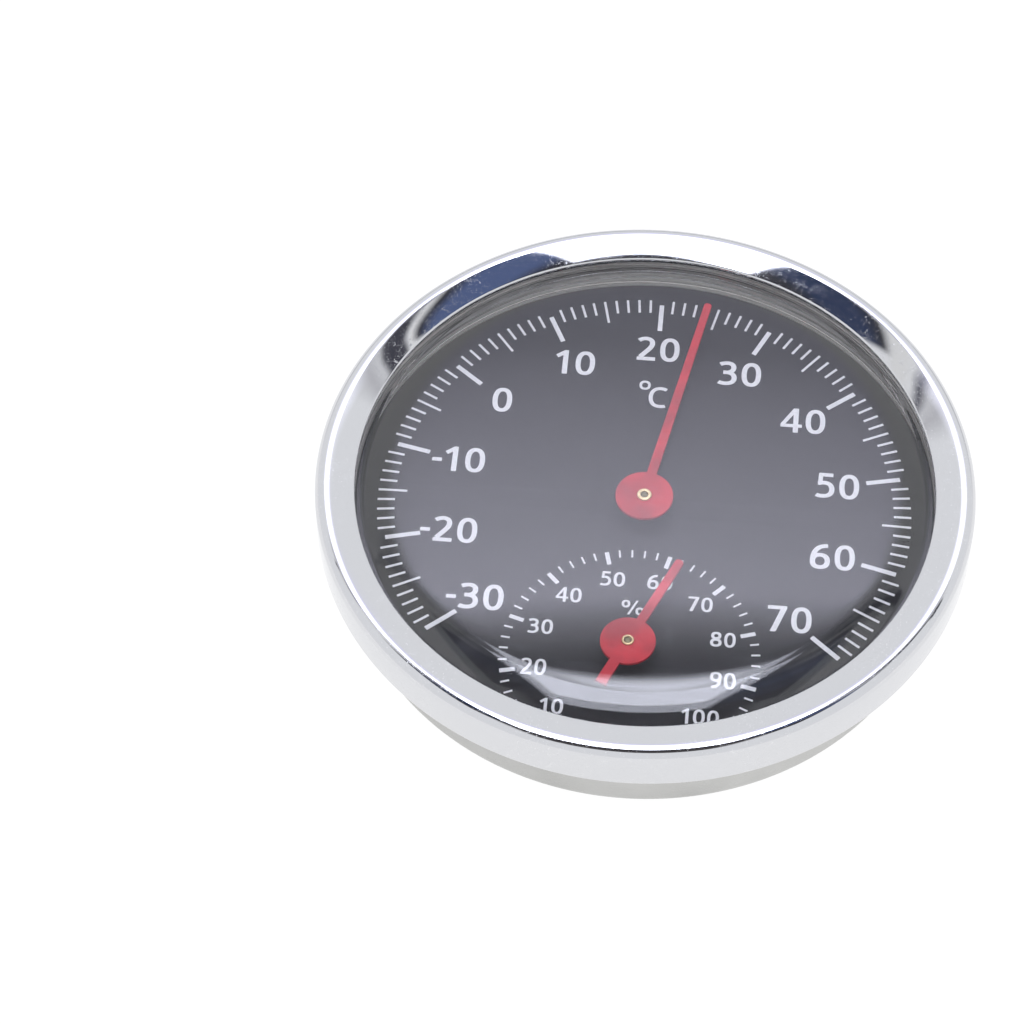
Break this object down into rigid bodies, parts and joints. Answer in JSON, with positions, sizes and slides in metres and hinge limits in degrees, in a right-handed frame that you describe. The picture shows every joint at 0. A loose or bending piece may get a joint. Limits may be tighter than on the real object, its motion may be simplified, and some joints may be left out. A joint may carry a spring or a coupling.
{
  "type": "dial hygrometer",
  "caption": "Round flat dial hygrometer with a chrome bezel, a domed lens and one black dial with a large thermometer scale and a small humidity scale, each with a red pointer.",
  "frame": {"origin": "centre of the flat back face of the rear can", "axes": "+Z out of the dial along the instrument's axis, +Y towards 12 o'clock on the dial, +X towards 3 o'clock"},
  "size_m": [0.075, 0.075, 0.0153],
  "materials": {
    "chrome_bezel": "polished",
    "can_steel": "satin plated steel",
    "lens_clear": "clear polished",
    "spacer_chrome": "polished",
    "support_plastic": "matte black",
    "plate_white": "white lacquer",
    "face_black": "satin black film",
    "pointer_red": "satin red paint",
    "brass": "turned",
    "shaft_steel": "ground",
    "bridge_steel": "zinc plated",
    "bimetal": "rolled bimetal strip",
    "humidity_strip": "foil strip with a moisture-sensitive layer"
  },
  "bodies": {
    "case": {"rear_can": "can_steel", "bezel_ring": "chrome_bezel", "lens": "lens_clear", "spacer_ring": "spacer_chrome", "dial_support_ring": "support_plastic", "dial_plate": "plate_white", "dial_face": "face_black", "thermo_coil": "bimetal", "thermo_coil_stud": "brass", "thermo_front_bush": "brass", "thermo_rear_bush": "brass", "thermo_bridge": "bridge_steel", "thermo_rivet_left": "bridge_steel", "thermo_rivet_right": "bridge_steel", "hygro_front_bush": "brass", "hygro_bridge": "bridge_steel", "hygro_adjuster_washer": "bridge_steel", "hygro_rivet_left": "bridge_steel", "hygro_rivet_right": "bridge_steel"},
    "thermo_hand": {"thermo_pointer": "pointer_red", "thermo_collet": "brass", "thermo_arbor": "shaft_steel", "thermo_coil_sleeve": "brass"},
    "humidity_adjuster": {"hygro_adjuster": "brass", "hygro_coil_stud": "brass", "hygro_coil": "humidity_strip"},
    "hygro_hand": {"hygro_pointer": "pointer_red", "hygro_collet": "brass", "hygro_arbor": "shaft_steel", "hygro_coil_sleeve": "brass"}
  },
  "joints": [
    {"name": "thermo_turn", "type": "hinge", "parent": "case", "child": "thermo_hand", "pos_m": [0, 0, 0.0107], "axis": [0, 0, 1], "range_deg": [-118.5, 140.2], "stiffness_Nm_per_rad": 0.0005, "deforming": ["thermo_coil"]},
    {"name": "adjuster_turn", "type": "hinge", "parent": "case", "child": "humidity_adjuster", "pos_m": [-0.00035, -0.0204, 0.0028], "axis": [0, 0, 1], "range_deg": [-15, 15]},
    {"name": "hygro_turn", "type": "hinge", "parent": "humidity_adjuster", "child": "hygro_hand", "pos_m": [-0.00035, -0.0204, 0.0112], "axis": [0, 0, 1], "range_deg": [-106.4, 154.5], "stiffness_Nm_per_rad": 0.0002, "deforming": ["hygro_coil"]}
  ]
}
